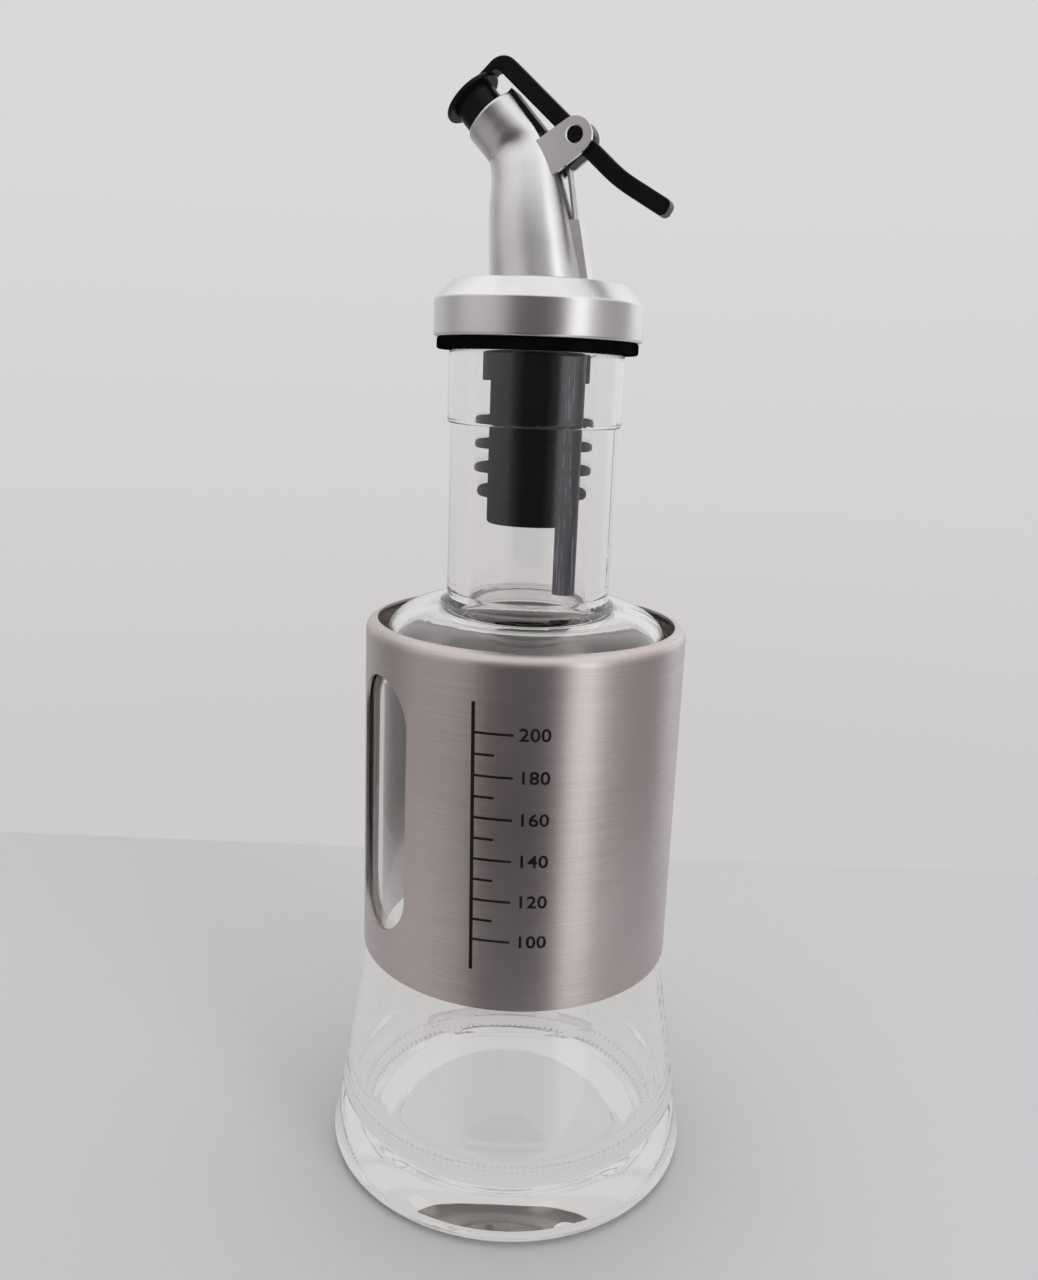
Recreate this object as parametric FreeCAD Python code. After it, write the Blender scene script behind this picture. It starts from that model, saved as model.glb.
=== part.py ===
import FreeCAD, Part
import math
import os

# Oil dispenser bottle: a flared clear glass bottle in a windowed steel sleeve, closed by a black
# ribbed stopper that carries a plated cap, a curved pouring spout and a sprung black lever.
# Millimetres, +Z up, origin at the centre of the base on the surface it stands on.
# Front is -Y. The spout, its ears and the lever lie in one upright plane through the bottle's axis.

V = FreeCAD.Vector
UP = V(0, 0, 1)

# ---- glass bottle -------------------------------------------------------------------------
FOOT_R = 36.2            # radius the flared side would reach at the floor, before its rounding
HEEL_ROUND = 2.5         # rounding between the foot's side and its underside
RING_INNER_R = 29.6      # inside of the ring the bottle stands on
PUNT_R = 20.0            # flat middle of the hollowed underside
PUNT_H = 2.2             # how far the underside is pushed up
BODY_R = 29.2            # straight body inside the sleeve
FLARE_TOP_Z = 42.9       # where the flared skirt meets the straight body
FLARE_ROUND = 60.0
SHOULDER_Z = 112.0       # height at which the shoulder meets the neck
NECK_R = 15.1
NECK_ROUND = 1.2
INNER_NECK_ROUND = 4.0
COLLAR_R = 15.8          # thicker band round the mouth
COLLAR_H = 12.8
MOUTH_Z = 157.1          # top of the glass
BORE_R = 11.0
BODY_WALL = 2.6
SHOULDER_WALL = 2.6
FLOOR_Z = 4.6            # lowest point of the inside
FLOOR_CROWN = 1.2        # the floor rises this much towards its middle
FLOOR_ROUND = 12.0
CROWN_R = 14.0           # inside this radius the floor rises

# ---- steel sleeve -------------------------------------------------------------------------
SLEEVE_GAP = 0.3         # between the straight glass and the steel
SLEEVE_WALL = 0.5
SLEEVE_BOTTOM_Z = 44.1
SLEEVE_H = 64.4
LIP_INSET = 2.1          # how far the rolled top rim turns inwards
WINDOW_W = 16.7
WINDOW_H = 48.4
WINDOW_TURN = 58.0       # degrees from the front towards the left; its twin is opposite

# ---- stopper ------------------------------------------------------------------------------
PLUG_CLEARANCE = 2.85    # between the plug and the bore
PLUG_DROP = 30.3         # length below the glass mouth
SHOULDER_CLEARANCE = 1.4 # between the plug's wider top and the bore
PLUG_SHOULDER_H = 5.1
FIN_CLEARANCE = 0.3      # between the ring fins and the bore
FIN_PITCH = 4.2
FIN_COUNT = 4
FIN_THICK = 1.4
LOW_FIN_THICK = 1.8
LOW_FIN_SHORT = 0.65     # the lowest fin is this much smaller, to lead in
LOW_FIN_RISE = 5.8       # its height above the plug's end
FLANGE_R = 18.0
FLANGE_H = 2.1

# ---- vent tube ----------------------------------------------------------------------------
TUBE_R = 1.75
TUBE_BORE_R = 1.1
TUBE_TURN = 40.0         # degrees from the front towards the right
TUBE_WALL_GAP = 0.2      # between the tube and the bore of the neck
TUBE_TAIL = 11.8         # length below the end of the plug
GROOVE_CLEARANCE = 0.1

# ---- cap ----------------------------------------------------------------------------------
CAP_R = 18.6
CAP_SIDE_H = 6.4
CAP_TOP_R = 15.3
CAP_BEVEL_H = 3.3

# ---- spout --------------------------------------------------------------------------------
SPOUT_TURN = 18.0        # degrees the plane of the spout is turned from the X axis
MOUTH_S = -9.8          # spout mouth, along the spout plane from the axis
MOUTH_RISE = 27.7       # spout mouth above the cap
MOUTH_TILT = 42.5        # degrees the mouth faces away from straight up
MOUTH_OUTER_R = 5.4
LIP_ROUND = 0.5
CHANNEL_S = -2.2         # the upright part of the pouring channel
CHANNEL_R = 3.0
MOUTH_BORE_R = 3.05
MOUTH_BORE_DEPTH = 4.0
# stations up the horn: centre along the plane, rise above the cap, tilt, half length, half width
HORN_STATIONS = [
    (-0.35, 0.0, 0.0, 8.7, 8.0),
    (-2.25, 11.3, 5.0, 7.4, 6.5),
    (-3.40, 18.3, 12.0, 6.2, 5.0),
    (-4.80, 22.04, 27.0, 5.7, 4.1),
]
MUZZLE_LENGTH = 5.1      # straight end of the horn
MUZZLE_HALF = (5.35, 4.6)
LOFT_STEPS = 4           # loft sections to each stretch of the horn
SLOT_HALF_W = 2.45       # slot along the back of the horn
SLOT_DEPTH = 1.2
LINER_CLEARANCE = 0.05
LINER_PROUD = 0.15
RIB_HALF_W = 1.8         # spring housing below the slot
RIB_RISE = 10.4
RIB_FOOT_S = 9.3
RIB_TOP_S = 7.1

# ---- ears, lever and spring ---------------------------------------------------------------
PIVOT_S = 5.93
PIVOT_RISE = 23.74       # above the cap
PIN_R = 1.2
HUB_R = 2.2              # barrel of the lever round its pin
PIN_CLEARANCE = 0.06
PIN_RECESS = 0.15        # the pin's ends lie this far inside the ears' faces
EAR_OUTER = 3.1          # half the width over both ears
EAR_THICK = 0.95
EAR_LEAN = 31.0          # degrees the ears rise away from the horn
EAR_TIP = 2.9
EAR_ROOT = 6.57
EAR_ROOT_HIGH = 2.7
EAR_ROOT_LOW = 3.7
HUB_CLEARANCE = 0.15
LEVER_THICK = 2.95
LEVER_SLOPE = 41.7       # degrees the lever's bar falls towards its tail
LEVER_EDGE = 0.35
ELBOW_ROUND = 3.2
SEAL_GAP = 0.15          # between the seal's foot and the spout mouth
SEAL_STEM_R = 3.9
SEAL_STEM_H = 4.2
SEAL_DISC_R = 5.4
SEAL_SHIFT = 0.8         # how far the seal sits off the middle of the mouth, away from the lever
SEAL_DISC_H = 0.85
ARM_OVER_DISC = 0.9
TAIL_STRAIGHT = 10.2     # from the pivot to the bend of the tail
TAIL_LENGTH = 9.9
TAIL_LIFT = 11.5         # degrees the tail flattens out
TAIL_ROUND = 25.0
LEG_REACH = 5.87         # from the pivot to the foot that the spring bears on
LEG_TURN = 17.6          # degrees that reach leans from straight down towards the horn
LEG_EDGE = 40.8          # slope of the leg's lower edge
LEG_ROUND = 0.6
SPRING_HALF_W = 1.3
SPRING_THICK = 0.5
SPRING_INSET = 0.8       # from the back of the housing to the back of the spring
SPRING_GAP = 0.1         # between the spring's tip and the lever's leg
SPRING_SEAT = 2.0        # length held in the housing

# ---- heights worked out from the sizes above ----------------------------------------------
FLANGE_TOP_Z = MOUTH_Z + FLANGE_H
CAP_BEVEL_Z = FLANGE_TOP_Z + CAP_SIDE_H
CAP_TOP_Z = CAP_BEVEL_Z + CAP_BEVEL_H
PLUG_END_Z = MOUTH_Z - PLUG_DROP
SLEEVE_INNER_R = BODY_R + SLEEVE_GAP
SLEEVE_R = SLEEVE_INNER_R + SLEEVE_WALL
SLEEVE_TOP_Z = SLEEVE_BOTTOM_Z + SLEEVE_H
PLUG_R = BORE_R - PLUG_CLEARANCE
PLUG_SHOULDER_R = BORE_R - SHOULDER_CLEARANCE
FIN_R = BORE_R - FIN_CLEARANCE
TUBE_S = BORE_R - TUBE_WALL_GAP - TUBE_R


# ---- geometry helpers ---------------------------------------------------------------------
def turned(angle_deg):
    """Unit vectors along and across a plane that is turned about Z."""
    a = math.radians(angle_deg)
    return V(math.cos(a), -math.sin(a), 0), V(math.sin(a), math.cos(a), 0)


ALONG, ACROSS = turned(SPOUT_TURN)


def in_plane(s, z, t=0.0):
    """Point of the spout plane: s from the axis, z up, t out of the plane."""
    return ALONG * s + UP * z + ACROSS * t


def in_section(r, z, t=0.0):
    """Point of the half plane that is spun round the bottle's axis."""
    return V(r, t, z)


def outline(corners, place):
    """Closed wire through corners (u, v, rounding), with a tangent arc at each rounded one."""
    pts = [V(c[0], c[1], 0) for c in corners]
    radii = [c[2] if len(c) > 2 else 0.0 for c in corners]
    starts, ends, mids = [], [], []
    for i, p in enumerate(pts):
        to_prev = (pts[i - 1] - p).normalize()
        to_next = (pts[(i + 1) % len(pts)] - p).normalize()
        half = math.acos(max(-1.0, min(1.0, to_prev.dot(to_next)))) / 2
        if radii[i] == 0.0:
            starts.append(p)
            ends.append(p)
            mids.append(None)
            continue
        cut = radii[i] / math.tan(half)
        starts.append(p + to_prev * cut)
        ends.append(p + to_next * cut)
        bisector = (to_prev + to_next).normalize()
        mids.append(p + bisector * (radii[i] / math.sin(half) - radii[i]))
    edges = []
    for i in range(len(pts)):
        if mids[i] is not None:
            arc = [place(q.x, q.y) for q in (starts[i], mids[i], ends[i])]
            edges.append(Part.Arc(*arc).toShape())
        after = starts[(i + 1) % len(pts)]
        if (after - ends[i]).Length > 1e-6:
            line = [place(q.x, q.y) for q in (ends[i], after)]
            edges.append(Part.LineSegment(*line).toShape())
    return Part.Wire(edges)


def spin(corners):
    """Solid of revolution about the bottle's axis."""
    return Part.Face(outline(corners, in_section)).revolve(V(0, 0, 0), UP, 360)


def plate(corners, t_low, t_high):
    """Flat piece in the spout plane, between two offsets across it."""
    wire = outline(corners, lambda s, z: in_plane(s, z, t_low))
    return Part.Face(wire).extrude(ACROSS * (t_high - t_low))


def crossing(point_a, dir_a, point_b, dir_b):
    """Where two lines of the spout plane cross, as (s, z)."""
    det = dir_a[0] * dir_b[1] - dir_a[1] * dir_b[0]
    ds, dz = point_b[0] - point_a[0], point_b[1] - point_a[1]
    k = (ds * dir_b[1] - dz * dir_b[0]) / det
    return point_a[0] + dir_a[0] * k, point_a[1] + dir_a[1] * k


# ---- places in the spout plane ------------------------------------------------------------
MOUTH = (MOUTH_S, CAP_TOP_Z + MOUTH_RISE)
PIVOT = (PIVOT_S, CAP_TOP_Z + PIVOT_RISE)
TILT = math.radians(MOUTH_TILT)
FACING = (-math.sin(TILT), math.cos(TILT))      # the way the mouth faces
RIMWARD = (math.cos(TILT), math.sin(TILT))      # across the mouth, towards the lever


def at_mouth(m, n):
    """Point (s, z) at m across the mouth and n out of it."""
    return (MOUTH[0] + RIMWARD[0] * m + FACING[0] * n,
            MOUTH[1] + RIMWARD[1] * m + FACING[1] * n)


def from_pivot(along, over, slope_deg):
    """Point (s, z) along a line that falls away from the pivot, and over it."""
    a = math.radians(slope_deg)
    return (PIVOT[0] + along * math.cos(a) + over * math.sin(a),
            PIVOT[1] - along * math.sin(a) + over * math.cos(a))


def horn_stations():
    """Main stations of the horn as (s, z, tilt in radians, half length, half width)."""
    found = [(s, CAP_TOP_Z + rise, math.radians(tilt), a, b)
             for s, rise, tilt, a, b in HORN_STATIONS]
    back_s, back_z = at_mouth(0, -MUZZLE_LENGTH)
    found.append((back_s, back_z, TILT, *MUZZLE_HALF))
    found.append((*MOUTH, TILT, MOUTH_OUTER_R, MOUTH_OUTER_R))
    return found


def slopes(stations):
    """Rate of change at each station, from its neighbours on both sides."""
    found = []
    last = len(stations) - 1
    for i in range(len(stations)):
        before, after = stations[max(i - 1, 0)], stations[min(i + 1, last)]
        span = min(i + 1, last) - max(i - 1, 0)
        found.append([(q - p) / span for p, q in zip(before, after)])
    return found


def station_between(i, k):
    """Station at a share k of the way from station i to the next, on a smooth curve."""
    stations = horn_stations()
    rates = slopes(stations)
    start, end = stations[i], stations[i + 1]
    h_start, h_end = 2 * k**3 - 3 * k**2 + 1, 3 * k**2 - 2 * k**3
    h_leave, h_arrive = k**3 - 2 * k**2 + k, k**3 - k**2
    parts = zip(start, end, rates[i], rates[i + 1])
    return [p * h_start + q * h_end + u * h_leave + v * h_arrive for p, q, u, v in parts]


def fine_stations():
    """Sections for the loft, several to each stretch between main stations."""
    found = [station_between(i, step / LOFT_STEPS)
             for i in range(len(HORN_STATIONS) + 1) for step in range(LOFT_STEPS)]
    return [*found, horn_stations()[-1]]


def back_line(offset, first, last):
    """Corners down the back of the horn, from one station to another, moved outwards."""
    line = []
    for s, z, tilt, a, _ in horn_stations()[first:last + 1]:
        reach = a + offset
        line.append((s + reach * math.cos(tilt), z + reach * math.sin(tilt)))
    return line


# ---- bottle and sleeve --------------------------------------------------------------------
def glass_bottle():
    collar_z = MOUTH_Z - COLLAR_H
    shoulder_round = BODY_R - NECK_R - NECK_ROUND
    inner_r = BODY_R - BODY_WALL
    inner_foot_r = inner_r + (FOOT_R - BODY_R) * (1 - FLOOR_Z / FLARE_TOP_Z)
    inner_top = SHOULDER_Z - SHOULDER_WALL
    collar_step = COLLAR_R - NECK_R
    return spin([
        (0, PUNT_H),
        (PUNT_R, PUNT_H, 12.0),
        (RING_INNER_R, 0, 1.0),
        (FOOT_R, 0, HEEL_ROUND),
        (BODY_R, FLARE_TOP_Z, FLARE_ROUND),
        (BODY_R, SHOULDER_Z, shoulder_round),
        (NECK_R, SHOULDER_Z, NECK_ROUND),
        (NECK_R, collar_z),
        (COLLAR_R, collar_z, collar_step),
        (COLLAR_R, MOUTH_Z, collar_step),
        (BORE_R, MOUTH_Z, 0.6),
        (BORE_R, inner_top, INNER_NECK_ROUND),
        (inner_r, inner_top, shoulder_round - BODY_WALL),
        (inner_r, FLARE_TOP_Z, FLARE_ROUND),
        (inner_foot_r, FLOOR_Z, FLOOR_ROUND),
        (CROWN_R, FLOOR_Z, 12.0),
        (CROWN_R / 3, FLOOR_Z + FLOOR_CROWN, 20.0),
        (0, FLOOR_Z + FLOOR_CROWN),
    ])


def stadium(width, height, depth):
    """Upright slot-shaped bar lying along +X from the origin, centred on it in Y and Z."""
    r = width / 2
    straight = height - width
    bar = Part.makeBox(depth, width, straight, V(0, -r, -straight / 2))
    for z in (-straight / 2, straight / 2):
        bar = bar.fuse(Part.makeCylinder(r, depth, V(0, 0, z), V(1, 0, 0)))
    return bar


def steel_sleeve():
    lip_r = SLEEVE_R - LIP_INSET
    inner_top = SLEEVE_TOP_Z - SLEEVE_WALL
    tube = spin([
        (SLEEVE_INNER_R, SLEEVE_BOTTOM_Z),
        (SLEEVE_R, SLEEVE_BOTTOM_Z),
        (SLEEVE_R, SLEEVE_TOP_Z, LIP_INSET),
        (lip_r, SLEEVE_TOP_Z),
        (lip_r, inner_top),
        (SLEEVE_INNER_R, inner_top, LIP_INSET - SLEEVE_WALL),
    ])
    for turn in (0, 180):
        window = stadium(WINDOW_W, WINDOW_H, SLEEVE_R * 1.2)
        window.translate(V(0, 0, SLEEVE_BOTTOM_Z + SLEEVE_H / 2))
        window.rotate(V(0, 0, 0), UP, -90 - WINDOW_TURN + turn)
        tube = tube.cut(window)
    return tube


# ---- stopper and vent tube ----------------------------------------------------------------
def tube_axis(z):
    """Centre of the vent tube at a height."""
    a = math.radians(TUBE_TURN)
    return V(TUBE_S * math.sin(a), -TUBE_S * math.cos(a), z)


def channel_bar(z_low, z_high):
    """The upright part of the pouring channel between two heights."""
    return Part.makeCylinder(CHANNEL_R, z_high - z_low, in_plane(CHANNEL_S, z_low), UP)


def fin(z, radius, thick):
    root = PLUG_R - 0.8
    low, high = z - thick / 2, z + thick / 2
    tip = thick * 0.45
    return spin([(root, low), (radius, low, tip), (radius, high, tip), (root, high)])


def stopper():
    shoulder_z = MOUTH_Z - PLUG_SHOULDER_H
    body = spin([
        (0, PLUG_END_Z),
        (PLUG_R, PLUG_END_Z, 0.6),
        (PLUG_R, shoulder_z),
        (PLUG_SHOULDER_R, shoulder_z, 0.3),
        (PLUG_SHOULDER_R, MOUTH_Z),
        (FLANGE_R, MOUTH_Z, 0.5),
        (FLANGE_R, FLANGE_TOP_Z, 0.5),
        (0, FLANGE_TOP_Z),
    ])
    for i in range(FIN_COUNT):
        z = PLUG_END_Z + LOW_FIN_RISE + i * FIN_PITCH
        lowest = i == 0
        radius = FIN_R - LOW_FIN_SHORT if lowest else FIN_R
        body = body.fuse(fin(z, radius, LOW_FIN_THICK if lowest else FIN_THICK))
    groove_r = TUBE_R + GROOVE_CLEARANCE
    groove = Part.makeCylinder(groove_r, PLUG_DROP + 1, tube_axis(PLUG_END_Z - 1), UP)
    body = body.cut(groove)
    return body.cut(channel_bar(PLUG_END_Z - 1, FLANGE_TOP_Z + 1))


def vent_tube():
    low = PLUG_END_Z - TUBE_TAIL
    length = MOUTH_Z - low
    tube = Part.makeCylinder(TUBE_R, length, tube_axis(low), UP)
    return tube.cut(Part.makeCylinder(TUBE_BORE_R, length - 2, tube_axis(low), UP))


def cap_disc():
    disc = spin([
        (0, FLANGE_TOP_Z),
        (CAP_R, FLANGE_TOP_Z, 0.5),
        (CAP_R, CAP_BEVEL_Z, 0.6),
        (CAP_TOP_R, CAP_TOP_Z, 0.5),
        (0, CAP_TOP_Z),
    ])
    return disc.cut(channel_bar(FLANGE_TOP_Z - 1, CAP_TOP_Z + 1))


# ---- spout --------------------------------------------------------------------------------
def station_wire(s, z, tilt, half_length, half_width):
    """Oval section of the horn, square to its tilted centre line."""
    across_tilt = ALONG * math.cos(tilt) + UP * math.sin(tilt)
    forward = ALONG * -math.sin(tilt) + UP * math.cos(tilt)
    centre = in_plane(s, z)
    spread = FreeCAD.Matrix(
        across_tilt.x * half_length, ACROSS.x * half_width, forward.x, centre.x,
        across_tilt.y * half_length, ACROSS.y * half_width, forward.y, centre.y,
        across_tilt.z * half_length, ACROSS.z * half_width, forward.z, centre.z,
        0, 0, 0, 1)
    circle = Part.Wire([Part.makeCircle(1.0)])
    return circle.transformGeometry(spread)


def ear_corners():
    """Outline of one ear: square at the horn and fully round about the pivot."""
    tip = EAR_TIP * 0.999
    corners = [(-EAR_ROOT, -EAR_ROOT_LOW), (EAR_TIP, -EAR_TIP, tip),
               (EAR_TIP, EAR_TIP, tip), (-EAR_ROOT, EAR_ROOT_HIGH)]
    return [(*from_pivot(c[0], c[1], -EAR_LEAN), *c[2:]) for c in corners]


def slot_corners(floor_offset, top_offset, first, last):
    """Band down the back of the horn between two offsets, closed at both ends."""
    floor = back_line(floor_offset, first, last)
    top = back_line(top_offset, first, last)
    rounded = [(*p, 12.0) for p in floor[1:-1]]
    back = [(*p, 12.0) for p in top[1:-1]]
    return [floor[0], *rounded, floor[-1], top[-1], *back[::-1], top[0]]


def pouring_channel():
    bend = crossing(MOUTH, FACING, (CHANNEL_S, 0), (0, 1))
    facing = in_plane(*FACING)
    length = math.dist(bend, MOUTH) + 1
    channel = channel_bar(CAP_TOP_Z - 1, bend[1])
    channel = channel.fuse(Part.makeSphere(CHANNEL_R, in_plane(*bend)))
    channel = channel.fuse(Part.makeCylinder(CHANNEL_R, length, in_plane(*bend), facing))
    bore_foot = at_mouth(0, -MOUTH_BORE_DEPTH)
    bore = Part.makeCylinder(MOUTH_BORE_R, MOUTH_BORE_DEPTH + 1, in_plane(*bore_foot), facing)
    return channel.fuse(bore)


def spring_corners(extra=0.0):
    """Outline of the leaf spring, grown by extra on both faces and at its foot."""
    rib_top_z = CAP_TOP_Z + RIB_RISE
    foot_z = rib_top_z - SPRING_SEAT - extra
    leg = leg_foot()
    half_corner = math.radians((90 - LEG_EDGE) / 2)
    leg_low_z = leg[1] + LEG_ROUND / math.tan(half_corner) - LEG_ROUND
    tip_z = leg_low_z - SPRING_GAP
    outer = [(RIB_TOP_S - SPRING_INSET, foot_z), (RIB_TOP_S - SPRING_INSET, rib_top_z),
             (leg[0] + LEG_ROUND, tip_z)]
    outer = [(s + extra, z) for s, z in outer]
    thick = SPRING_THICK + 2 * extra
    inner = [(s - thick, z) for s, z in outer]
    return [outer[0], (*outer[1], 4.0), outer[2], inner[2], (*inner[1], 4.0), inner[0]]


def spout_horn():
    wires = [station_wire(*station) for station in fine_stations()]
    horn = Part.makeLoft(wires, True, False)
    rim = [e for e in horn.Edges
           if (e.CenterOfMass - in_plane(*MOUTH)).Length < 0.5 and e.Length > MOUTH_OUTER_R]
    horn = horn.makeFillet(LIP_ROUND, rim)
    rib_top_z = CAP_TOP_Z + RIB_RISE
    rib = plate([(0, CAP_TOP_Z), (RIB_FOOT_S, CAP_TOP_Z), (RIB_TOP_S, rib_top_z, 0.3),
                 (0, rib_top_z)], -RIB_HALF_W, RIB_HALF_W)
    horn = horn.fuse(rib)
    horn = horn.cut(plate(slot_corners(-SLOT_DEPTH, 4.0, 2, 5), -SLOT_HALF_W, SLOT_HALF_W))
    hole_r = PIN_R + PIN_CLEARANCE
    for side in (-1, 1):
        faces = sorted((side * EAR_OUTER, side * (EAR_OUTER - EAR_THICK)))
        horn = horn.fuse(plate(ear_corners(), *faces))
    hole = Part.makeCylinder(hole_r, 2 * EAR_OUTER + 2, in_plane(*PIVOT, -EAR_OUTER - 1), ACROSS)
    horn = horn.cut(hole)
    for side in (-1, 1):
        sink = Part.makeCone(hole_r + 0.3, hole_r, 0.3, in_plane(*PIVOT, side * EAR_OUTER),
                             ACROSS * -side)
        horn = horn.cut(sink)
    pocket = plate(spring_corners(LINER_CLEARANCE), -SPRING_HALF_W - LINER_CLEARANCE,
                   SPRING_HALF_W + LINER_CLEARANCE)
    horn = horn.cut(pocket)
    return horn.cut(pouring_channel()).removeSplitter()


def spout_liner():
    """Black strip in the slot, from the mouth to between the ears."""
    corners = slot_corners(-SLOT_DEPTH, LINER_PROUD, 3, 5)
    half = SLOT_HALF_W - LINER_CLEARANCE
    return plate(corners, -half, half)


def leaf_spring():
    return plate(spring_corners(), -SPRING_HALF_W, SPRING_HALF_W)


# ---- lever --------------------------------------------------------------------------------
def leg_foot():
    """Where the lever's leg ends, just above the tip of the spring."""
    lean = math.radians(LEG_TURN)
    return (PIVOT[0] - LEG_REACH * math.sin(lean), PIVOT[1] - LEG_REACH * math.cos(lean))


def lever_corners():
    half = LEVER_THICK / 2
    bar = (-math.cos(math.radians(LEVER_SLOPE)), math.sin(math.radians(LEVER_SLOPE)))
    disc_low = SEAL_GAP + SEAL_STEM_H
    arm_low = disc_low + SEAL_DISC_H / 2
    arm_high = disc_low + SEAL_DISC_H + ARM_OVER_DISC
    over, under = from_pivot(0, half, LEVER_SLOPE), from_pivot(0, -half, LEVER_SLOPE)
    outer_elbow = crossing(over, bar, at_mouth(0, arm_high), RIMWARD)
    inner_elbow = crossing(under, bar, at_mouth(0, arm_low), RIMWARD)
    tail_dir = math.radians(LEVER_SLOPE - TAIL_LIFT)
    tail = (math.cos(tail_dir), -math.sin(tail_dir))
    bend_over = from_pivot(TAIL_STRAIGHT, half, LEVER_SLOPE)
    bend_under = (bend_over[0] - LEVER_THICK * math.sin(tail_dir + math.radians(TAIL_LIFT / 2)),
                  bend_over[1] - LEVER_THICK * math.cos(tail_dir + math.radians(TAIL_LIFT / 2)))
    tip_over = (bend_over[0] + tail[0] * TAIL_LENGTH, bend_over[1] + tail[1] * TAIL_LENGTH)
    tip_under = (tip_over[0] - LEVER_THICK * math.sin(tail_dir),
                 tip_over[1] - LEVER_THICK * math.cos(tail_dir))
    foot = leg_foot()
    edge = math.radians(LEG_EDGE)
    crotch = crossing(foot, (math.cos(edge), math.sin(edge)), under, bar)
    root = crossing(foot, (0, 1), under, bar)
    arm_start = SEAL_STEM_R * 0.8
    return [
        (*at_mouth(-SEAL_SHIFT - arm_start, arm_high), 0.7),
        (*outer_elbow, ELBOW_ROUND),
        (*bend_over, TAIL_ROUND),
        (*tip_over, 1.1),
        (*tip_under, 1.1),
        (*bend_under, TAIL_ROUND),
        (*crotch, 0.6),
        (*foot, LEG_ROUND),
        (*root, 0.8),
        (*inner_elbow, 0.8),
        at_mouth(-SEAL_SHIFT - arm_start, arm_low),
    ]


def seal():
    """Mushroom seal on the lever's end, spun about a line along the axis of the spout mouth."""
    disc_low = SEAL_GAP + SEAL_STEM_H
    disc_high = disc_low + SEAL_DISC_H
    facing = in_plane(*FACING)
    across = in_plane(*RIMWARD)
    centre = in_plane(*at_mouth(-SEAL_SHIFT, 0))
    corners = [(0, SEAL_GAP), (SEAL_STEM_R, SEAL_GAP, 0.5), (SEAL_STEM_R, disc_low),
               (SEAL_DISC_R, disc_low, 0.35), (SEAL_DISC_R, disc_high, 0.35), (0, disc_high)]
    wire = outline(corners, lambda r, n: centre + across * r + facing * n)
    return Part.Face(wire).revolve(centre, facing, 360)


def pivot_pin():
    """Pin that turns with the lever in the holes of the ears."""
    reach = EAR_OUTER - PIN_RECESS
    return Part.makeCylinder(PIN_R, 2 * reach, in_plane(*PIVOT, -reach), ACROSS)


def lever():
    half = EAR_OUTER - EAR_THICK - HUB_CLEARANCE
    bar = plate(lever_corners(), -half, half)
    rims = [e for e in bar.Edges
            if abs(abs(e.CenterOfMass.dot(ACROSS)) - half) < 1e-6 and e.Length > 0.1]
    bar = bar.makeFillet(LEVER_EDGE, rims)
    hub = Part.makeCylinder(HUB_R, 2 * half, in_plane(*PIVOT, -half), ACROSS)
    return bar.fuse(hub).cut(seal()).cut(pivot_pin())


NODES = {
    "glass_bottle": glass_bottle,
    "steel_sleeve": steel_sleeve,
    "stopper": stopper,
    "vent_tube": vent_tube,
    "cap_disc": cap_disc,
    "spout_horn": spout_horn,
    "spout_liner": spout_liner,
    "leaf_spring": leaf_spring,
    "lever": lever,
    "lever_seal": seal,
    "pivot_pin": pivot_pin,
}

os.makedirs("parts", exist_ok=True)
for name, make in NODES.items():
    shape = make()
    solids = shape.Solids
    box = shape.BoundBox
    print(f"{name}: {len(solids)} solid, valid {shape.isValid()}, volume {shape.Volume:.1f} mm3, "
          f"z {box.ZMin:.2f} to {box.ZMax:.2f}")
    shape = solids[0] if len(solids) == 1 else shape
    shape.exportStep(f"parts/{name}.step")
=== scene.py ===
# %% [markdown]
# # An oil dispenser bottle
# A flared bottle of clear pressed glass wears a sleeve of brushed stainless steel, and a black
# rubber stopper carries a satin spout with a sprung lever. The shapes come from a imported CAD
# model, which is loaded first and never changed. Blender adds what CAD leaves out: how each
# surface was made, the printed scale, the stippled ring under the foot, and the light.

# %% Load the frame
import math

import bmesh
import bpy
from mathutils import Matrix, Vector


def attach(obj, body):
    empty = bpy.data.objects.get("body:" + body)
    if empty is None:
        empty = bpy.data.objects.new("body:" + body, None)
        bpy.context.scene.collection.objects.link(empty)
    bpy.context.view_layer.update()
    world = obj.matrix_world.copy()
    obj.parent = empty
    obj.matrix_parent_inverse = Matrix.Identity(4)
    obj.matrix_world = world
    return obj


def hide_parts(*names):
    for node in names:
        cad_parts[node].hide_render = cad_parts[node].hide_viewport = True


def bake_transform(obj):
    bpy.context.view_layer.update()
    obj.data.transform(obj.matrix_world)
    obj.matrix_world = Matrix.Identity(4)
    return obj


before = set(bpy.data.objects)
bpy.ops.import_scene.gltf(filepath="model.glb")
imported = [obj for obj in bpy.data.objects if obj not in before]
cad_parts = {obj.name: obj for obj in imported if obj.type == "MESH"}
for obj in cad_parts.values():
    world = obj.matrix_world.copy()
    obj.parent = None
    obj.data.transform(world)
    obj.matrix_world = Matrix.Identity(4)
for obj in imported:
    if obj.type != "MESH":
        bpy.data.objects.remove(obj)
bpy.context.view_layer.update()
MM = 0.001

# %% [markdown]
# ## Small helpers
# Colours are written as sRGB hex values, the way a colour picker shows them. Blender's shaders
# work in linear light, so one function converts them. A second one adds any node at all, with
# its settings and its links, and short ones on top of it add the kinds of node that come back
# again and again. That keeps every tree below short enough to read.

# %% Colour and node helpers
def linear(hex_colour):
    """An sRGB hex value as the linear RGBA that shaders expect."""
    found = []
    for i in (0, 2, 4):
        c = int(hex_colour[i:i + 2], 16) / 255
        found.append(c / 12.92 if c <= 0.04045 else ((c + 0.055) / 1.055) ** 2.4)
    return (*found, 1.0)


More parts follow.
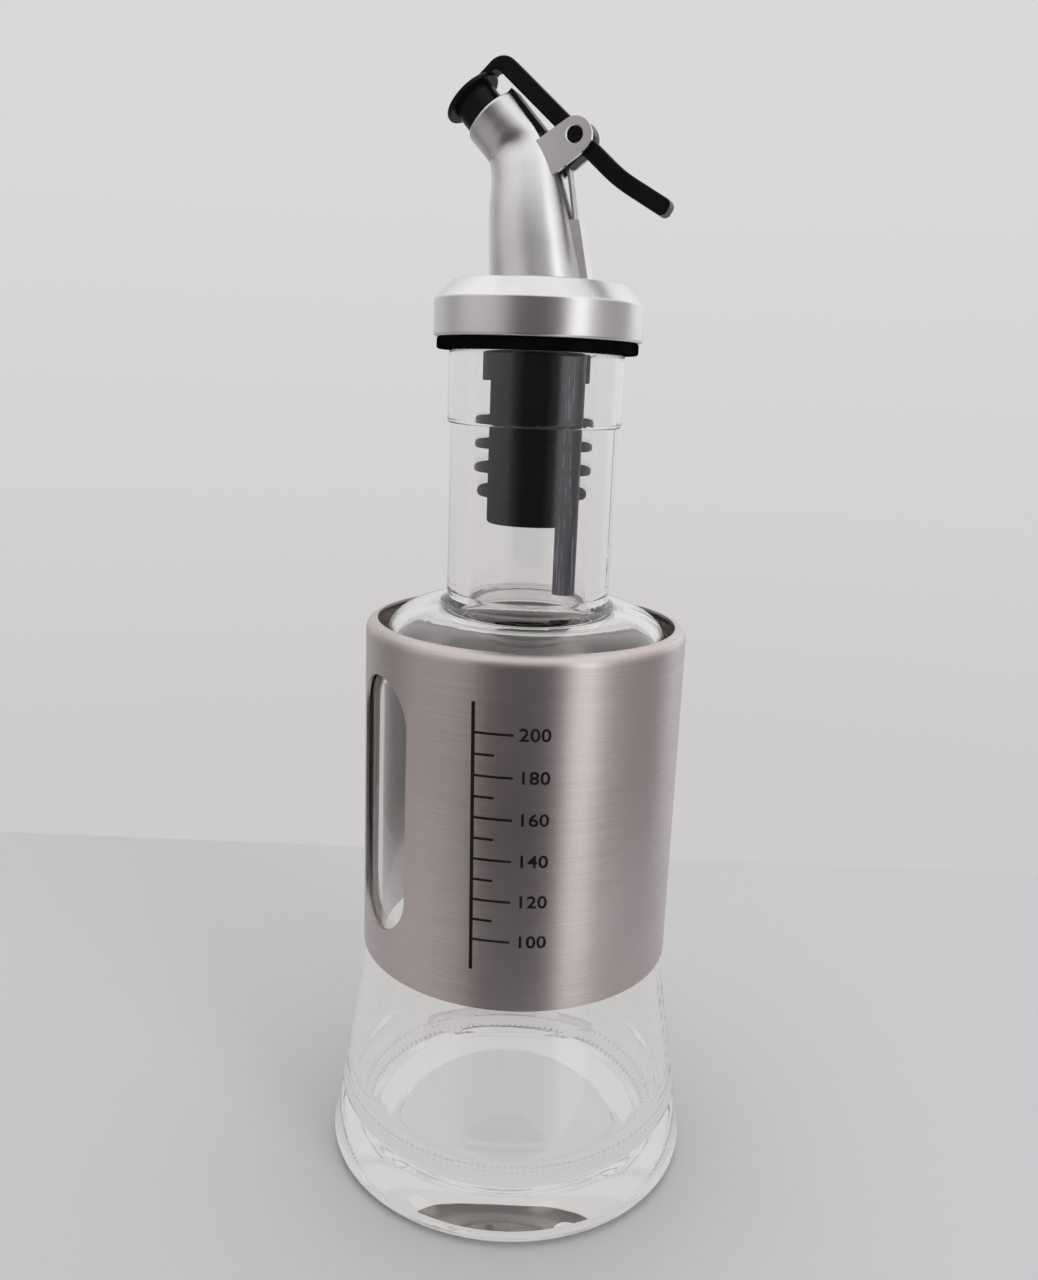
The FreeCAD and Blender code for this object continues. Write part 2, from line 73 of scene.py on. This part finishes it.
def set_inputs(tree, node, **inputs):
    """Sets a node's inputs by name, with _ for a space, or by number, as i0, i1 and so on.
    Each input is a value, or a socket to link from."""
    for key, value in inputs.items():
        by_number = key[0] == "i" and key[1:].isdigit()
        socket = node.inputs[int(key[1:]) if by_number else key.replace("_", " ")]
        if isinstance(value, bpy.types.NodeSocket):
            tree.links.new(value, socket)
        else:
            socket.default_value = value


def add_node(tree, kind, settings=None, **inputs):
    """Adds a node with its settings and its inputs."""
    node = tree.nodes.new(kind)
    for key, value in (settings or {}).items():
        setattr(node, key, value)
    set_inputs(tree, node, **inputs)
    return node


def calc(tree, operation, *values):
    """One step of arithmetic on numbers or sockets."""
    inputs = {f"i{i}": value for i, value in enumerate(values)}
    return add_node(tree, "ShaderNodeMath", {"operation": operation}, **inputs).outputs[0]


def remap(tree, value, target=(0.0, 1.0), source=(0.0, 1.0)):
    """Maps the source range on to the target range, and holds still outside it."""
    return add_node(tree, "ShaderNodeMapRange", Value=value, From_Min=source[0],
                    From_Max=source[1], To_Min=target[0], To_Max=target[1]).outputs[0]


def blend_colours(tree, factor, first, second):
    """Mixes two colours: 0 gives the first and 1 the second."""
    return add_node(tree, "ShaderNodeMix", {"data_type": "RGBA"}, i0=factor, i6=first,
                    i7=second).outputs[2]


def ramp(tree, factor, *stops):
    """Colour ramp through (position, hex) stops."""
    node = add_node(tree, "ShaderNodeValToRGB", Fac=factor)
    elements = node.color_ramp.elements
    while len(elements) < len(stops):
        elements.new(0.5)
    for element, (position, colour) in zip(elements, stops):
        element.position = position
        element.color = linear(colour)
    return node.outputs["Color"]


def object_place(tree):
    """Object coordinates, in metres in the bottle's own frame."""
    return add_node(tree, "ShaderNodeTexCoord").outputs["Object"]


def separated(tree, vector):
    """The X, Y and Z of a vector."""
    return add_node(tree, "ShaderNodeSeparateXYZ", Vector=vector).outputs


def angle_from_front(tree, split):
    """Angle round the upright axis, from the front at -Y towards +X."""
    return calc(tree, "ARCTAN2", split["X"], calc(tree, "MULTIPLY", split["Y"], -1.0))


def stretched(tree, place, size_mm):
    """Coordinates in which one unit is the given size in millimetres along x, y and z."""
    scale = [1 / (s * MM) for s in size_mm]
    return add_node(tree, "ShaderNodeMapping", Vector=place, Scale=scale).outputs["Vector"]


def noise(tree, place, detail, roughness=0.5):
    """Soft noise with blots about one unit wide."""
    return add_node(tree, "ShaderNodeTexNoise", Vector=place, Scale=1.0, Detail=detail,
                    Roughness=roughness).outputs["Fac"]


def roughen(tree, shader, height, strength, depth_mm):
    """Gives a shader a bump that follows a height."""
    bump = add_node(tree, "ShaderNodeBump", Height=height, Strength=strength,
                    Distance=depth_mm * MM)
    set_inputs(tree, shader, Normal=bump.outputs["Normal"])


def new_material(name):
    """A material with the usual shader; returns (material, tree, shader)."""
    material = bpy.data.materials.new(name)
    material.use_nodes = True
    tree = material.node_tree
    return material, tree, tree.nodes["Principled BSDF"]


# %% Object helpers
def put_in_scene(name, data):
    """A new object in the scene."""
    thing = bpy.data.objects.new(name, data)
    bpy.context.scene.collection.objects.link(thing)
    return thing


def evaluated_mesh(thing):
    """What an object becomes once its modifiers and its text are worked out, as a mesh."""
    evaluated = thing.evaluated_get(bpy.context.evaluated_depsgraph_get())
    return bpy.data.meshes.new_from_object(evaluated)


# %% [markdown]
# ## The camera
# The camera stands a hand's length away, about as high as the rim of the glass neck, and looks
# down at the bottle. It is held a touch askew, so the bottle leans to the right in the frame.

# %% Camera
CAMERA_PLACE = Vector((-0.64, -203.4, 152.2)) * MM
CAMERA_DOWN = math.radians(13.28)
CAMERA_YAW = math.radians(0.17)
CAMERA_ROLL = math.radians(2.25)
LENS, SENSOR = 30.94, 36     # millimetres, as lens makers give them
NEAREST_SEEN = 0.01          # metres

camera_data = bpy.data.cameras.new("camera")
camera_data.lens = LENS
camera_data.sensor_width = SENSOR
camera_data.clip_start = NEAREST_SEEN
camera = put_in_scene("camera", camera_data)
camera.matrix_world = (Matrix.Translation(CAMERA_PLACE) @ Matrix.Rotation(CAMERA_YAW, 4, "Z")
                       @ Matrix.Rotation(math.pi / 2 - CAMERA_DOWN, 4, "X")
                       @ Matrix.Rotation(CAMERA_ROLL, 4, "Z"))
bpy.context.scene.camera = camera
bpy.context.scene.view_settings.view_transform = "Standard"

# %% [markdown]
# Light crosses many walls of glass here and is thrown about inside the thick heel. With Blender's
# default of four mirror bounces those paths would end early, as black arcs.

# %% Light bounces
BOUNCES = 32

cycles = bpy.context.scene.cycles
cycles.max_bounces = cycles.glossy_bounces = cycles.transmission_bounces = BOUNCES

# %% [markdown]
# ## The room
# Polished things show the room they stand in. This one is drawn as a ring of tones, one for each
# compass direction: a dark side where the viewer stands, a tall bright window to the right of it,
# and pale walls behind. The ring is dimmer below eye level and turns into a white ceiling above.
# It is there for reflections only. What is seen directly, or through glass, is an even pale wall,
# dark only where the inside of the glass mirrors the viewer. Matt things are lit evenly.
#
# Directions are given by parts of a unit vector. The upward part is 0 at eye level and 1 straight
# up, and the forward part is 1 straight towards the viewer.

# %% World
RING = [(-180, "9c9c9e"), (-146, "a2a2a4"), (-122, "8c8b8b"), (-103, "747272"), (-88, "959291"),
        (-80, "989594"), (-52, "989594"), (-36, "8a8786"), (-27, "443f40"), (12, "3f393b"),
        (28, "443e40"), (36, "f0eff0"), (50, "f0eff0"), (58, "9f9d9e"), (66, "8f8d8e"),
        (80, "838182"), (102, "838182"), (112, "8b898a"), (126, "c4c4c6"), (146, "bebec0"),
        (180, "9c9c9e")]                     # degrees from the front, tone
CEILING = "c0c0c2"
CEILING_RISE = (0.3, 0.75)                   # upward part where it begins, and where it is full
RING_STRENGTH = (1.3, 2.15)                  # below and above eye level
EYE_LEVEL = (-0.15, 0.08)                    # upward part over which the strength changes
EVEN_LIGHT = "c6c6c8"
WALL_TONES = ((0.2, "cecbcb"), (0.65, "dad9d9"))
WALL_HORIZON = 0.5                           # place of eye level among the wall's tones
VIEWER_TONE, VIEWER_SHADE = "262425", 0.9
VIEWER_CONE = (0.75, 0.95)                   # forward part at its edge, and where it is full

world = bpy.data.worlds.new("room")
bpy.context.scene.world = world
world.use_nodes = True
sky = world.node_tree
sky.nodes.clear()
split = separated(sky, add_node(sky, "ShaderNodeTexCoord").outputs["Generated"])
paths = add_node(sky, "ShaderNodeLightPath").outputs

around = calc(sky, "MULTIPLY_ADD", angle_from_front(sky, split), 1 / math.tau, 0.5)
ring = ramp(sky, around, *((0.5 + turn / 360, tone) for turn, tone in RING))
overhead = remap(sky, split["Z"], source=CEILING_RISE)
mirrored = blend_colours(sky, overhead, ring, linear(CEILING))
level = remap(sky, split["Z"], target=RING_STRENGTH, source=EYE_LEVEL)
mirrored = add_node(sky, "ShaderNodeVectorMath", {"operation": "SCALE"},
                    i0=mirrored, Scale=level).outputs[0]

wall = ramp(sky, calc(sky, "ADD", split["Z"], WALL_HORIZON), *WALL_TONES)
forward = calc(sky, "MULTIPLY", split["Y"], -1.0)
viewer = remap(sky, forward, target=(0.0, VIEWER_SHADE), source=VIEWER_CONE)
shade = calc(sky, "MULTIPLY", viewer, paths["Is Transmission Ray"])
wall = blend_colours(sky, shade, wall, linear(VIEWER_TONE))

seen = calc(sky, "MAXIMUM", paths["Is Camera Ray"], paths["Is Transmission Ray"])
light_colour = blend_colours(sky, paths["Is Glossy Ray"], linear(EVEN_LIGHT), mirrored)
room_colour = blend_colours(sky, seen, light_colour, wall)
background = add_node(sky, "ShaderNodeBackground", Color=room_colour, Strength=1.0)
add_node(sky, "ShaderNodeOutputWorld", Surface=background.outputs[0])

# %% [markdown]
# Two soft lamps give matt surfaces a little shape. Metal and glass don't show them, because the
# ring of tones above already has the window in it.

# %% Lamps
LAMP_AIM = Vector((0, 0, 100))               # millimetres, in the middle of the bottle


def soft_lamp(name, place_mm, size_mm, watts):
    """A rectangular soft lamp that faces the bottle and shows in no reflection."""
    data = bpy.data.lights.new(name, "AREA")
    data.shape = "RECTANGLE"
    data.size, data.size_y = size_mm[0] * MM, size_mm[1] * MM
    data.energy = watts
    lamp = put_in_scene(name, data)
    facing = Vector(place_mm) - LAMP_AIM
    turn = facing.to_track_quat("Z", "Y").to_matrix().to_4x4()
    lamp.matrix_world = Matrix.Translation(Vector(place_mm) * MM) @ turn
    lamp.visible_camera = lamp.visible_glossy = lamp.visible_transmission = False


soft_lamp("window_right", place_mm=(460, -530, 300), size_mm=(240, 620), watts=1.2)
soft_lamp("ceiling", place_mm=(0, 60, 900), size_mm=(700, 700), watts=1.6)

# %% [markdown]
# The bottle stands on a white table, close to its front edge. Seen through glass, the table shows
# its plain colour, since light that glass bends on to it isn't traced.

# %% Table top
TABLE_X, TABLE_FRONT, TABLE_BACK = 178.0, -78.0, 135.0
TABLE_DROP = 0.02            # keeps the table clear of the bottle's foot
TABLE_PAINT, TABLE_ROUGHNESS = "dcdbdc", 0.6
TABLE_TONE = "cbc9ca"        # as it looks in its own light, for what is seen through glass

table_mesh = bpy.data.meshes.new("table_top")
corners = [Vector((x, y, -TABLE_DROP)) * MM for x, y in
           ((-TABLE_X, TABLE_FRONT), (TABLE_X, TABLE_FRONT), (TABLE_X, TABLE_BACK),
            (-TABLE_X, TABLE_BACK))]
table_mesh.from_pydata(corners, [], [(0, 1, 2, 3)])
table = put_in_scene("table_top", table_mesh)
table_paint, tree, shader = new_material("painted_board")
set_inputs(tree, shader, Base_Color=linear(TABLE_PAINT), Roughness=TABLE_ROUGHNESS)
through_glass = add_node(tree, "ShaderNodeLightPath").outputs["Is Transmission Ray"]
plain = add_node(tree, "ShaderNodeEmission", Color=linear(TABLE_TONE), Strength=1.0)
mixed = add_node(tree, "ShaderNodeMixShader", Fac=through_glass, i1=shader.outputs[0],
                 i2=plain.outputs[0])
set_inputs(tree, tree.nodes["Material Output"], Surface=mixed.outputs[0])
table_mesh.materials.append(table_paint)

# %% [markdown]
# ## Soda-lime glass
# The bottle is soda-lime glass, blown into a mould and thick at the foot. Its index of
# refraction is 1.52, and it is all but colourless. A moulded surface is not quite even, so a
# very faint, wide bump lets reflections waver.

# %% Glass
GLASS_IOR = 1.52

glass, tree, shader = new_material("soda_lime_glass")
set_inputs(tree, shader, Base_Color=linear("fcfcfb"), Specular_IOR_Level=0.12,
           Transmission_Weight=1.0, IOR=GLASS_IOR, Roughness=0.0)
wave = noise(tree, stretched(tree, object_place(tree), (14, 14, 18)), detail=1.0)
roughen(tree, shader, wave, strength=0.12, depth_mm=0.25)

# %% [markdown]
# ## Brushed stainless steel
# The sleeve is rolled from 0.5 mm stainless sheet that was brushed with a belt along its
# length, so once it is rolled the scratches run round the bottle. Such a surface smears
# reflections up and down, across the scratches, into tall bands. Real scratches are about
# 0.05 mm wide; here they are drawn 0.14 mm wide so that they show.

# %% Steel
SCRATCH_WIDTH, SCRATCH_LENGTH = 0.14, 22.0
SLEEVE_RADIUS = 30.0
SMUDGE_SHARE = 0.35          # how much the smudges add to the scratches

steel, tree, shader = new_material("brushed_stainless_steel")
place = object_place(tree)
split = separated(tree, place)
along = calc(tree, "MULTIPLY", angle_from_front(tree, split), SLEEVE_RADIUS / SCRATCH_LENGTH)
across = calc(tree, "DIVIDE", split["Z"], SCRATCH_WIDTH * MM)
rolled = add_node(tree, "ShaderNodeCombineXYZ", X=along, Y=across).outputs[0]
scratches = noise(tree, rolled, detail=4.0, roughness=0.65)
smudges = noise(tree, stretched(tree, place, (22, 22, 30)), detail=3.0)
both = calc(tree, "MULTIPLY_ADD", smudges, SMUDGE_SHARE, scratches)
set_inputs(tree, shader, Metallic=1.0, Anisotropic=0.7, Anisotropic_Rotation=0.25,
           Base_Color=ramp(tree, both, (0.35, "b1a7a4"), (0.65, "c6bdba"), (1.0, "d8d0ce")),
           Roughness=remap(tree, both, target=(0.26, 0.42)))
roughen(tree, shader, scratches, strength=0.25, depth_mm=0.02)

# %% [markdown]
# ## Satin metal
# The cap and the spout are zinc castings with a satin nickel plating: a soft silver whose fine
# blasted grain blurs what it mirrors.

# %% Satin nickel
satin, tree, shader = new_material("satin_nickel_plating")
place = object_place(tree)
blasting = noise(tree, stretched(tree, place, (0.25, 0.25, 0.25)), detail=2.0)
cloud = noise(tree, stretched(tree, place, (9, 9, 12)), detail=2.0)
set_inputs(tree, shader, Metallic=1.0,
           Base_Color=ramp(tree, cloud, (0.3, "d2d0d0"), (0.7, "e2e1e1")),
           Roughness=remap(tree, blasting, target=(0.26, 0.38)))
roughen(tree, shader, blasting, strength=0.15, depth_mm=0.01)

# %% [markdown]
# ## Black rubber, plastic, ink and steel
# The stopper is nitrile rubber, a dull black that mirrors nothing. The lever and its seal are
# moulded ABS, a smooth black with a faint shine. The scale is screen-printed in a flat ink, a
# little warmer than the plastic, and the pin is blackened steel. All four differ only in tone,
# smoothness, grain and shine, so one function makes them.

# %% Black polymers, ink and pin
def black_skin(name, dark, light, roughness, grain_mm, grain_strength, shine=0.12):
    """A black material; its skin varies a little, and shine sets how much it mirrors."""
    material, tree, shader = new_material(name)
    place = object_place(tree)
    skin = noise(tree, stretched(tree, place, (grain_mm,) * 3), detail=3.0)
    wear = noise(tree, stretched(tree, place, (5, 5, 7)), detail=2.0)
    set_inputs(tree, shader, Specular_IOR_Level=shine,
               Base_Color=ramp(tree, wear, (0.35, dark), (0.75, light)),
               Roughness=remap(tree, wear, target=(roughness - 0.05, roughness + 0.08)))
    roughen(tree, shader, skin, grain_strength, depth_mm=0.02)
    return material


rubber = black_skin("nitrile_rubber", "0a0a0b", "121213", roughness=0.45, grain_mm=0.3,
                    grain_strength=0.1, shine=0.0)
abs_plastic = black_skin("moulded_abs", "0a0a0b", "131315", roughness=0.3, grain_mm=0.8,
                         grain_strength=0.05)
ink = black_skin("screen_printing_ink", "141113", "221e20", roughness=0.5, grain_mm=0.2,
                 grain_strength=0.05)
black_steel = black_skin("blackened_steel_pin", "0b0b0c", "161617", roughness=0.35,
                         grain_mm=0.4, grain_strength=0.05)

# %% [markdown]
# ## The vent tube
# The tube is extruded dark plastic. The die leaves long scores down its length, which are drawn
# as a bump.
# Pale violet streaks are painted into its colour along the same scores. They are painted
# highlights, standing in for the window's light on the tube.

# %% Extruded tube plastic
tube_plastic, tree, shader = new_material("extruded_polyethylene")
scores_and_painted_highlights = noise(tree, stretched(tree, object_place(tree), (0.5, 0.5, 14)), detail=4.0,
                roughness=0.7)
# the pale violet stop is a painted highlight; the two dark stops are the plastic's own colour
set_inputs(tree, shader, Roughness=0.22, Specular_IOR_Level=0.1,
           Base_Color=ramp(tree, scores_and_painted_highlights, (0.5, "0b0910"), (0.56, "221c30"), (0.62, "9a8fc0")))
roughen(tree, shader, scores_and_painted_highlights, strength=0.6, depth_mm=0.06)

# %% [markdown]
# ## Spring steel
# The leaf spring is cold-rolled strip: bright grey, with fine upright lines from the rolls that
# break up its shine.

# %% Rolled spring steel
spring_steel, tree, shader = new_material("rolled_spring_steel")
lines = noise(tree, stretched(tree, object_place(tree), (0.3, 0.3, 6)), detail=2.0)
set_inputs(tree, shader, Metallic=1.0, Roughness=remap(tree, lines, target=(0.22, 0.4)),
           Base_Color=ramp(tree, lines, (0.3, "77777a"), (0.7, "b9b9bb")))

# %% Dress the CAD nodes
FINISHES = {
    "glass_bottle": glass,
    "steel_sleeve": steel,
    "stopper": rubber,
    "vent_tube": tube_plastic,
    "cap_disc": satin,
    "spout_horn": satin,
    "spout_liner": abs_plastic,
    "leaf_spring": spring_steel,
    "lever": abs_plastic,
    "lever_seal": abs_plastic,
    "pivot_pin": black_steel,
}
for node, material in FINISHES.items():
    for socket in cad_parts[node].material_slots:
        socket.material = material
print("dressed", len(FINISHES), "CAD nodes")

# %% [markdown]
# ## The printed scale
# A screen-printed scale runs up the front of the sleeve. It could be drawn by hand, but it
# follows a rule: a mark each 10 ml, long on the even twenties and short between. Geometry
# Nodes builds the marks flat, as a designer would, and then wraps them round the steel.

# %% Geometry Nodes helpers
def node_group(name, sizes):
    """A geometry tree with one input for each size; returns (tree, input sockets, output)."""
    tree = bpy.data.node_groups.new(name, "GeometryNodeTree")
    tree.interface.new_socket("Geometry", in_out="OUTPUT", socket_type="NodeSocketGeometry")
    for size in sizes:
        kind = "NodeSocketInt" if isinstance(sizes[size], int) else "NodeSocketFloat"
        tree.interface.new_socket(size, in_out="INPUT", socket_type=kind)
    return tree, tree.nodes.new("NodeGroupInput").outputs, tree.nodes.new("NodeGroupOutput")


def grown_mesh(name, tree, sizes):
    """Runs a geometry tree with its sizes and returns the result as a plain mesh object."""
    carrier = put_in_scene(name, bpy.data.meshes.new(name))
    modifier = carrier.modifiers.new("grow", "NODES")
    modifier.node_group = tree
    for socket in tree.interface.items_tree:
        if socket.in_out == "INPUT":
            modifier[socket.identifier] = sizes[socket.name]
    carrier.update_tag()
    mesh = evaluated_mesh(carrier)
    carrier.modifiers.clear()
    carrier.data = mesh
    mesh.name = name
    return carrier


# %% Scale marks
INK_LIFT = 0.04
SCALE_SIZES = {
    "Count": 11,
    "First Height": 57.4 * MM,
    "Spacing": 3.76 * MM,
    "Long Mark": 6.9 * MM,
    "Short Mark": 3.7 * MM,
    "Mark Width": 0.42 * MM,
    "Line Width": 0.62 * MM,
    "Line Low": 51.6 * MM,
    "Line High": 100.3 * MM,
    "Radius": (SLEEVE_RADIUS + INK_LIFT) * MM,
    "Azimuth": math.radians(-15.2),
    "Lean": math.tan(math.radians(1.1)),
}
MARK_POINTS = 10             # points along a mark, so that it can bend round the steel


def scale_tree():
    """The marks and their upright line: laid out flat, leant, then wrapped round the sleeve."""
    tree, sizes, out = node_group("printed_scale", SCALE_SIZES)
    start = add_node(tree, "ShaderNodeCombineXYZ", Z=sizes["First Height"])
    step = add_node(tree, "ShaderNodeCombineXYZ", Z=sizes["Spacing"])
    ladder = add_node(tree, "GeometryNodeMeshLine", Count=sizes["Count"],
                      Start_Location=start.outputs[0], Offset=step.outputs[0])
    odd = calc(tree, "MODULO", add_node(tree, "GeometryNodeInputIndex").outputs[0], 2.0)
    length = remap(tree, odd, target=(sizes["Long Mark"], sizes["Short Mark"]))
    mark = add_node(tree, "GeometryNodeMeshGrid", Size_X=1.0, Size_Y=sizes["Mark Width"],
                    Vertices_X=MARK_POINTS, Vertices_Y=2)
    upright = add_node(tree, "GeometryNodeTransform", Geometry=mark.outputs["Mesh"],
                       Translation=(0.5, 0, 0), Rotation=(math.pi / 2, 0, 0))
    stretch = add_node(tree, "ShaderNodeCombineXYZ", X=length, Y=1.0, Z=1.0)
    marks = add_node(tree, "GeometryNodeInstanceOnPoints", Points=ladder.outputs["Mesh"],
                     Instance=upright.outputs[0], Scale=stretch.outputs[0])
    tall = calc(tree, "SUBTRACT", sizes["Line High"], sizes["Line Low"])
    line = add_node(tree, "GeometryNodeMeshGrid", Size_X=sizes["Line Width"], Size_Y=tall,
                    Vertices_X=3, Vertices_Y=2)
    middle = calc(tree, "MULTIPLY",
                  calc(tree, "ADD", sizes["Line High"], sizes["Line Low"]), 0.5)
    lift = add_node(tree, "ShaderNodeCombineXYZ", Z=middle)
    line = add_node(tree, "GeometryNodeTransform", Geometry=line.outputs["Mesh"],
                    Translation=lift.outputs[0], Rotation=(math.pi / 2, 0, 0))
    flat = add_node(tree, "GeometryNodeJoinGeometry", Geometry=line.outputs[0])
    tree.links.new(marks.outputs[0], flat.inputs[0])
    flat = add_node(tree, "GeometryNodeRealizeInstances", Geometry=flat.outputs[0])
    split = separated(tree, add_node(tree, "GeometryNodeInputPosition").outputs[0])
    below = calc(tree, "SUBTRACT", middle, split["Z"])
    x = calc(tree, "ADD", split["X"], calc(tree, "MULTIPLY", below, sizes["Lean"]))
    turn = calc(tree, "ADD", calc(tree, "DIVIDE", x, sizes["Radius"]), sizes["Azimuth"])
    wrapped_x = calc(tree, "MULTIPLY", calc(tree, "SINE", turn), sizes["Radius"])
    forward = calc(tree, "MULTIPLY", calc(tree, "COSINE", turn), sizes["Radius"])
    wrapped = add_node(tree, "ShaderNodeCombineXYZ", X=wrapped_x,
                       Y=calc(tree, "MULTIPLY", forward, -1.0), Z=split["Z"])
    rolled = add_node(tree, "GeometryNodeSetPosition", Geometry=flat.outputs[0],
                      Position=wrapped.outputs[0])
    inked = add_node(tree, "GeometryNodeSetMaterial", Geometry=rolled.outputs[0], Material=ink)
    tree.links.new(inked.outputs[0], out.inputs[0])
    return tree


marks = grown_mesh("scale_marks", scale_tree(), SCALE_SIZES)
print("scale marks:", len(marks.data.polygons), "faces")
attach(marks, "bottle")

# %% [markdown]
# The figures beside the long marks are plain text objects. Each becomes a mesh, is set level
# with its mark, and is wrapped round the steel by the same rule as the marks.

# %% Scale figures
FIGURE_HEIGHT = 2.2          # millimetres, as are the next two
FIGURE_START = 7.8
FIGURE_WEIGHT = 0.05         # how far the outlines grow
FIGURE_STRETCH = 1.12
FIGURE_SPACING = 1.05
DIGIT_SHARE = 0.7            # height of a digit in a font of size 1
FIRST_VOLUME, VOLUME_STEP, FIGURES = 100, 20, 6
MARKS_PER_FIGURE = 2


def wrap_round(mesh, height):
    """Bends a flat mesh in x and y round the sleeve, leaning as the scale does."""
    radius = SCALE_SIZES["Radius"]
    middle = (SCALE_SIZES["Line Low"] + SCALE_SIZES["Line High"]) / 2
    for vertex in mesh.vertices:
        x = vertex.co.x + (middle - height - vertex.co.y) * SCALE_SIZES["Lean"]
        turn = SCALE_SIZES["Azimuth"] + x / radius
        vertex.co = (radius * math.sin(turn), -radius * math.cos(turn), height + vertex.co.y)


def figure(text, height):
    """One printed figure, centred on a height."""
    curve = bpy.data.curves.new(f"figure_{text}", "FONT")
    curve.body = text
    curve.size = FIGURE_HEIGHT * MM / DIGIT_SHARE
    curve.align_y = "CENTER"
    curve.space_character = FIGURE_SPACING
    curve.offset = FIGURE_WEIGHT * MM
    lettering = put_in_scene(f"figure_{text}", curve)
    mesh = evaluated_mesh(lettering)
    bpy.data.objects.remove(lettering)
    mesh.transform(Matrix.Translation((FIGURE_START * MM, 0, 0))
                   @ Matrix.Diagonal((FIGURE_STRETCH, 1, 1, 1)))
    wrap_round(mesh, height)
    mesh.materials.clear()
    mesh.materials.append(ink)
    return put_in_scene(f"figure_{text}", mesh)


for i in range(FIGURES):
    height = SCALE_SIZES["First Height"] + MARKS_PER_FIGURE * i * SCALE_SIZES["Spacing"]
    piece = figure(str(FIRST_VOLUME + VOLUME_STEP * i), height)
    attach(piece, "bottle")

# %% [markdown]
# ## The stippled ring
# Pressed bottles stand on a ring of fine ribs that keep the hot glass off the conveyor. Each
# rib is a low dash of glass, pointing outwards. Geometry Nodes sets one small rounded dash on
# each point of a circle and turns it to face out.

# %% Stipple ribs
STIPPLE_SIZES = {"Count": 132, "Ring Radius": 33.8 * MM, "Height": 0.42 * MM,
                 "Rib Length": 1.5 * MM, "Rib Width": 0.42 * MM, "Rib Rise": 0.3 * MM}


def stipple_tree():
    """A ball one unit wide on each point of the ring, squeezed to the size of a rib."""
    tree, sizes, out = node_group("stipple_ring", STIPPLE_SIZES)
    ring = add_node(tree, "GeometryNodeMeshCircle", Vertices=sizes["Count"],
                    Radius=sizes["Ring Radius"])
    place = add_node(tree, "GeometryNodeInputPosition").outputs[0]
    outward = add_node(tree, "FunctionNodeAlignRotationToVector", {"axis": "X"}, Vector=place)
    size = add_node(tree, "ShaderNodeCombineXYZ", X=sizes["Rib Length"], Y=sizes["Rib Width"],
                    Z=sizes["Rib Rise"])
    bead = add_node(tree, "GeometryNodeMeshIcoSphere", Radius=0.5, Subdivisions=2)
    ribs = add_node(tree, "GeometryNodeInstanceOnPoints", Points=ring.outputs[0],
                    Instance=bead.outputs[0], Rotation=outward.outputs[0], Scale=size.outputs[0])
    lift = add_node(tree, "ShaderNodeCombineXYZ", Z=sizes["Height"])
    raised = add_node(tree, "GeometryNodeTransform", Geometry=ribs.outputs[0],
                      Translation=lift.outputs[0])
    real = add_node(tree, "GeometryNodeRealizeInstances", Geometry=raised.outputs[0])
    smooth = add_node(tree, "GeometryNodeSetShadeSmooth", Geometry=real.outputs[0])
    coated = add_node(tree, "GeometryNodeSetMaterial", Geometry=smooth.outputs[0],
                      Material=glass)
    tree.links.new(coated.outputs[0], out.inputs[0])
    return tree


stipple = grown_mesh("stipple_ring", stipple_tree(), STIPPLE_SIZES)
print("stipple ribs:", len(stipple.data.polygons), "faces")
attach(stipple, "bottle")

# %% [markdown]
# ## The leaf spring
# A strip of spring steel stands in the housing at the back of the spout and presses up against
# the lever's leg. It is built as one fixed strip, upright at its foot and bowing gently in to the
# leg, and it takes the place of the CAD spring.

# %% Leaf spring
SPOUT_TURN = math.radians(18.0)
ALONG = Vector((math.cos(SPOUT_TURN), -math.sin(SPOUT_TURN), 0))
ACROSS = Vector((math.sin(SPOUT_TURN), math.cos(SPOUT_TURN), 0))
SPRING_FOOT, SPRING_NECK, SPRING_TIP = (6.05, 177.4), (6.05, 179.9), (4.5, 187.65)
SPRING_WIDTH, SPRING_THICK = 2.5, 0.45
SPRING_STEPS = 12


def solid_strip(name, path_mm, across, width_mm, thick_mm):
    """A thin strip along points, with its width across them."""
    shell = bmesh.new()
    rings = []
    for i, point in enumerate(path_mm):
        before, after = path_mm[max(i - 1, 0)], path_mm[min(i + 1, len(path_mm) - 1)]
        run = (after - before).normalized()
        out = across.cross(run).normalized()
        ring = [point + across * (a * width_mm / 2) + out * (b * thick_mm / 2)
                for a, b in ((-1, -1), (1, -1), (1, 1), (-1, 1))]
        rings.append([shell.verts.new(p * MM) for p in ring])
    for low, high in zip(rings, rings[1:]):
        for j in range(4):
            shell.faces.new((low[j], low[(j + 1) % 4], high[(j + 1) % 4], high[j]))
    shell.faces.new(rings[0][::-1])
    shell.faces.new(rings[-1])
    bmesh.ops.recalc_face_normals(shell, faces=shell.faces)
    mesh = bpy.data.meshes.new(name)
    shell.to_mesh(mesh)
    shell.free()
    return put_in_scene(name, mesh)


def spring_path():
    """Centre line of the spring: upright in its housing, then a gentle bow in to the leg."""
    points = []
    for i in range(SPRING_STEPS + 1):
        t = i / SPRING_STEPS
        weights = ((1 - t) ** 2, 2 * t * (1 - t), t * t)
        s, z = (sum(w * p[axis] for w, p in zip(weights, (SPRING_FOOT, SPRING_NECK, SPRING_TIP)))
                for axis in (0, 1))
        points.append(ALONG * s + Vector((0, 0, z)))
    return points


path = spring_path()
spring = solid_strip("leaf_spring_strip", path, ACROSS, SPRING_WIDTH, SPRING_THICK)
spring.data.materials.append(spring_steel)
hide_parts("leaf_spring")
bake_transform(spring)
